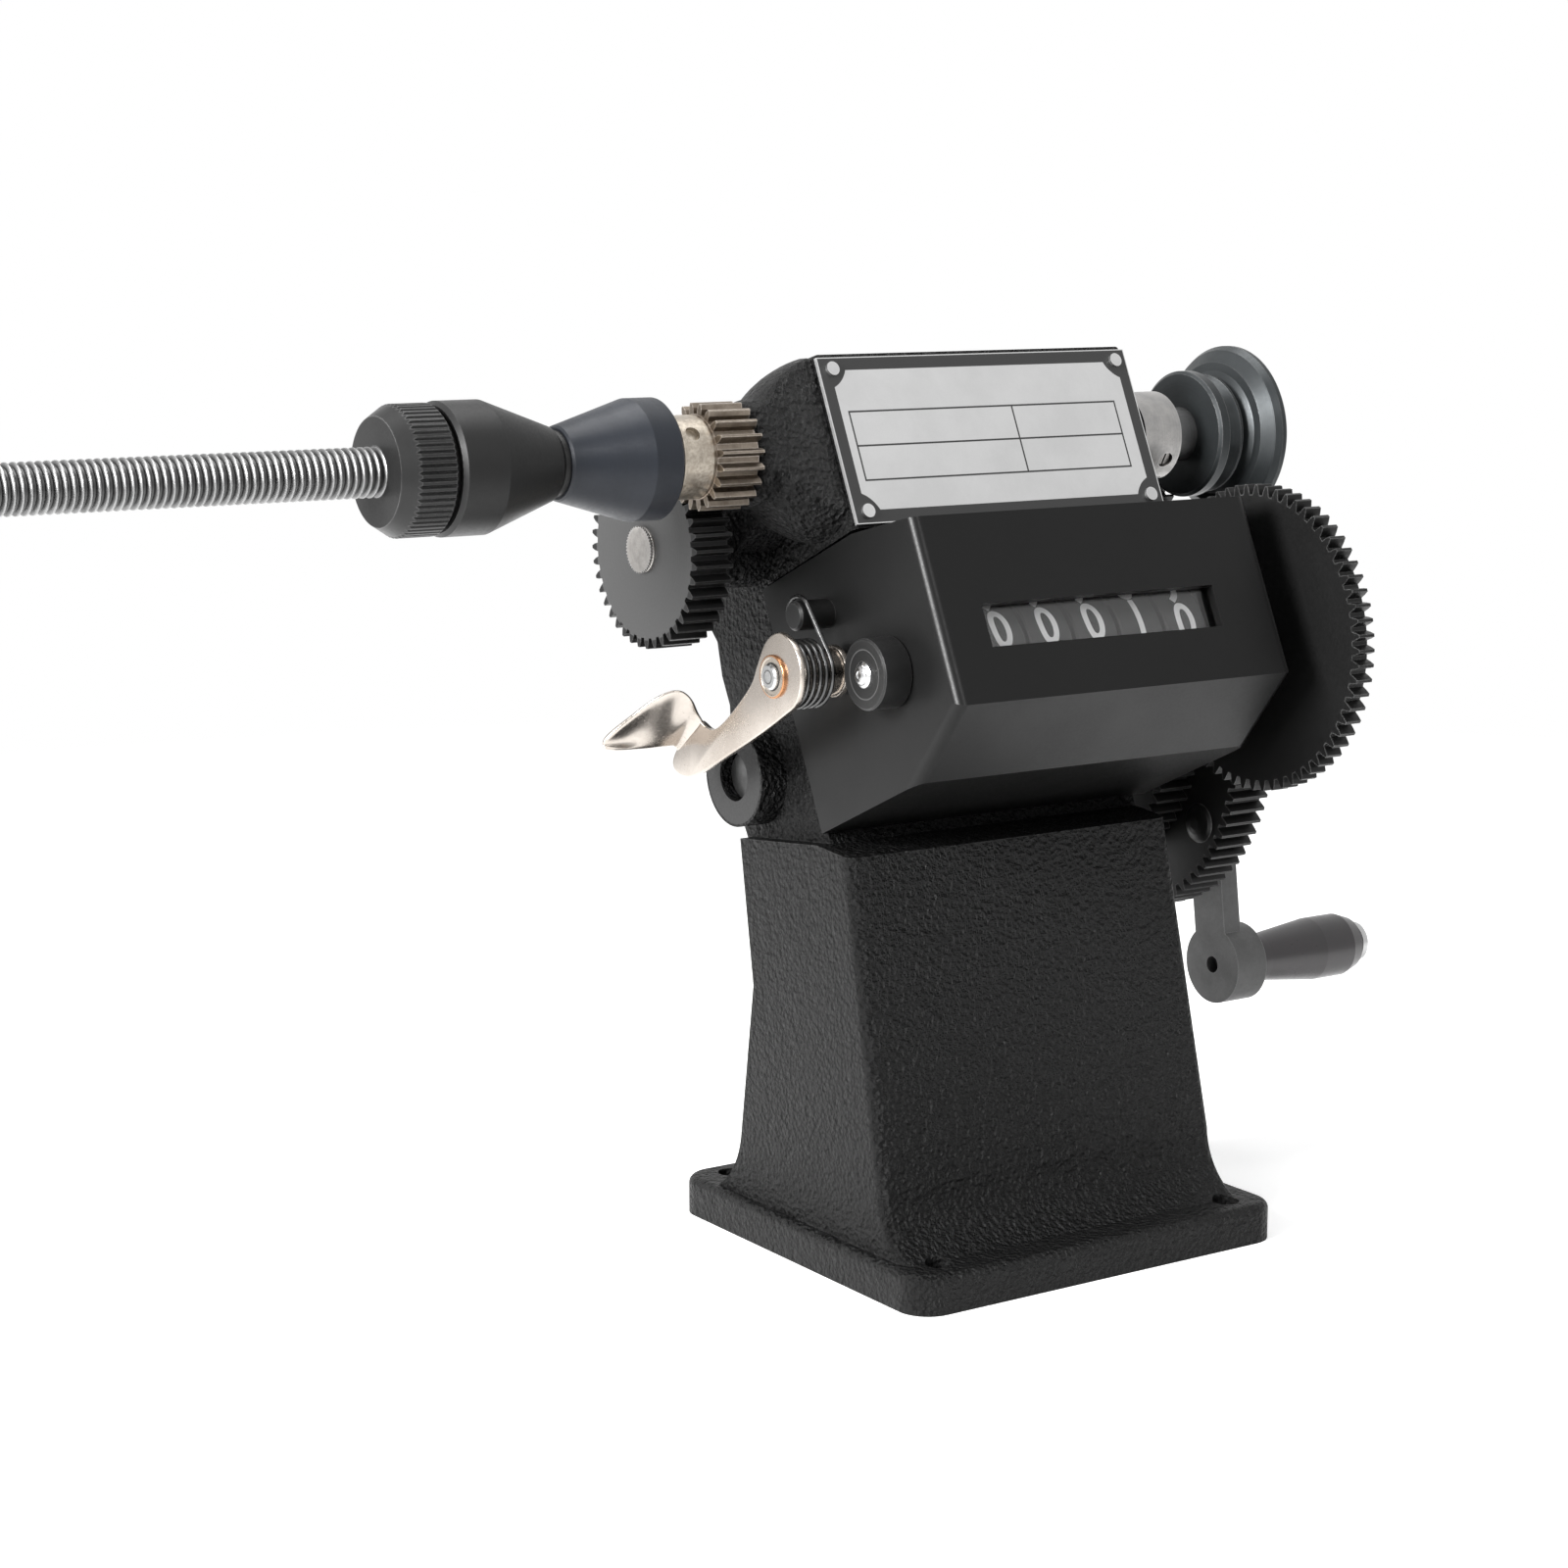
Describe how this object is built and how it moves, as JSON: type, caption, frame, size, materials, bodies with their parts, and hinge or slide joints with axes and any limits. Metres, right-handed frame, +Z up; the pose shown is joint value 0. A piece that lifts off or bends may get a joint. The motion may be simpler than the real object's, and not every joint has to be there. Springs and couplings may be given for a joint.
{
  "type": "wire coil winding machine",
  "caption": "Hand-cranked geared coil winder on a cast pedestal, with a threaded winding spindle, clamping cones, a turns counter and a belt pulley.",
  "frame": {"origin": "on the underside of the base, below the middle of the column", "axes": "+X along the winding spindle to its pulley end, +Y to the back, +Z up"},
  "size_m": [0.366, 0.1258, 0.1935],
  "materials": {
    "cast_black": "rough sand-cast black paint",
    "plate_silver": "satin silver plate with a black printed border",
    "box_black": "gloss black enamel",
    "clear": "clear window",
    "wheel_black": "black wheel with pale digits",
    "bushing_black": "black-oxide steel",
    "bright_steel": "bright turned steel",
    "thread_steel": "bright threaded rod",
    "oiled_steel": "brown oiled steel",
    "black_oxide": "black-oxide steel",
    "slate_steel": "slate blue-grey finish",
    "zinc": "zinc plated",
    "pulley_grey": "dark phosphated steel",
    "gear_black": "black-oxide gear steel",
    "crank_grey": "mid-grey painted crank",
    "grip_black": "near-black grip",
    "nickel": "warm nickel plate",
    "spring_steel": "spring steel"
  },
  "bodies": {
    "frame": {"frame_casting": "cast_black", "name_plate": "plate_silver", "plate_rivets": "bright_steel", "counter_box": "box_black", "counter_window": "clear", "counter_bushing_left": "bushing_black", "counter_bushing_right": "bushing_black", "lever_pin": "bright_steel", "spring_post": "bushing_black", "lever_spring": "spring_steel"},
    "crank": {"crank_shaft": "bright_steel", "crank_gear": "gear_black", "crank_pinion": "gear_black", "gear_rivet": "gear_black", "crank_arm": "crank_grey", "grip_pin": "bright_steel"},
    "grip": {"crank_grip": "grip_black"},
    "layshaft": {"lay_shaft": "bright_steel", "lay_gear": "gear_black", "lay_pinion": "gear_black"},
    "spindle": {"spindle_shaft": "thread_steel", "spindle_pinion": "oiled_steel", "inner_cone": "slate_steel", "drive_collar": "zinc", "collar_set_screw": "oiled_steel", "belt_pulley": "pulley_grey"},
    "cone": {"outer_cone": "black_oxide"},
    "nut": {"clamp_nut": "black_oxide"},
    "counter": {"counter_shaft": "bright_steel", "counter_gear": "gear_black", "number_wheel_5": "wheel_black"},
    "tens": {"number_wheel_4": "wheel_black"},
    "hundreds": {"number_wheel_3": "wheel_black"},
    "thousands": {"number_wheel_2": "wheel_black"},
    "ten_thousands": {"number_wheel_1": "wheel_black"},
    "lever": {"reset_lever": "nickel"}
  },
  "joints": [
    {"name": "crank_turn", "type": "hinge", "parent": "frame", "child": "crank", "pos_m": [0, 0.0255, 0.10292], "axis": [1, 0, 0], "continuous": true},
    {"name": "grip_spin", "type": "hinge", "parent": "crank", "child": "grip", "pos_m": [0, 0.01779, 0.04593], "axis": [1, 0, 0], "continuous": true},
    {"name": "layshaft_turn", "type": "hinge", "parent": "frame", "child": "layshaft", "pos_m": [0, 0.02873, 0.15281], "axis": [1, 0, 0], "continuous": true},
    {"name": "spindle_turn", "type": "hinge", "parent": "frame", "child": "spindle", "pos_m": [0, 0.007, 0.1735], "axis": [1, 0, 0], "continuous": true},
    {"name": "clamp_slide", "type": "slide", "parent": "spindle", "child": "cone", "axis": [1, 0, 0], "range_m": [-0.075, 0]},
    {"name": "nut_spin", "type": "hinge", "parent": "cone", "child": "nut", "pos_m": [0, 0.007, 0.1735], "axis": [1, 0, 0], "continuous": true},
    {"name": "counter_turn", "type": "hinge", "parent": "frame", "child": "counter", "pos_m": [0, -0.02577, 0.1311], "axis": [1, 0, 0], "continuous": true},
    {"name": "tens_turn", "type": "hinge", "parent": "frame", "child": "tens", "pos_m": [0, -0.02577, 0.1311], "axis": [1, 0, 0], "continuous": true},
    {"name": "hundreds_turn", "type": "hinge", "parent": "frame", "child": "hundreds", "pos_m": [0, -0.02577, 0.1311], "axis": [1, 0, 0], "continuous": true},
    {"name": "thousands_turn", "type": "hinge", "parent": "frame", "child": "thousands", "pos_m": [0, -0.02577, 0.1311], "axis": [1, 0, 0], "continuous": true},
    {"name": "ten_thousands_turn", "type": "hinge", "parent": "frame", "child": "ten_thousands", "pos_m": [0, -0.02577, 0.1311], "axis": [1, 0, 0], "continuous": true},
    {"name": "lever_press", "type": "hinge", "parent": "frame", "child": "lever", "pos_m": [0, -0.0083, 0.1295], "axis": [1, 0, 0], "range_deg": [-28, 0], "stiffness_Nm_per_rad": 0.08, "springref_deg": 20.05, "deforming": ["lever_spring"]}
  ],
  "couplings": [
    {"joint": "layshaft_turn", "follows": "crank_turn", "ratio": -4},
    {"joint": "spindle_turn", "follows": "crank_turn", "ratio": 8},
    {"joint": "counter_turn", "follows": "crank_turn", "ratio": -0.8},
    {"joint": "tens_turn", "follows": "crank_turn", "ratio": -0.08},
    {"joint": "hundreds_turn", "follows": "crank_turn", "ratio": -0.008},
    {"joint": "thousands_turn", "follows": "crank_turn", "ratio": -0.0008},
    {"joint": "ten_thousands_turn", "follows": "crank_turn", "ratio": -0.00008}
  ]
}
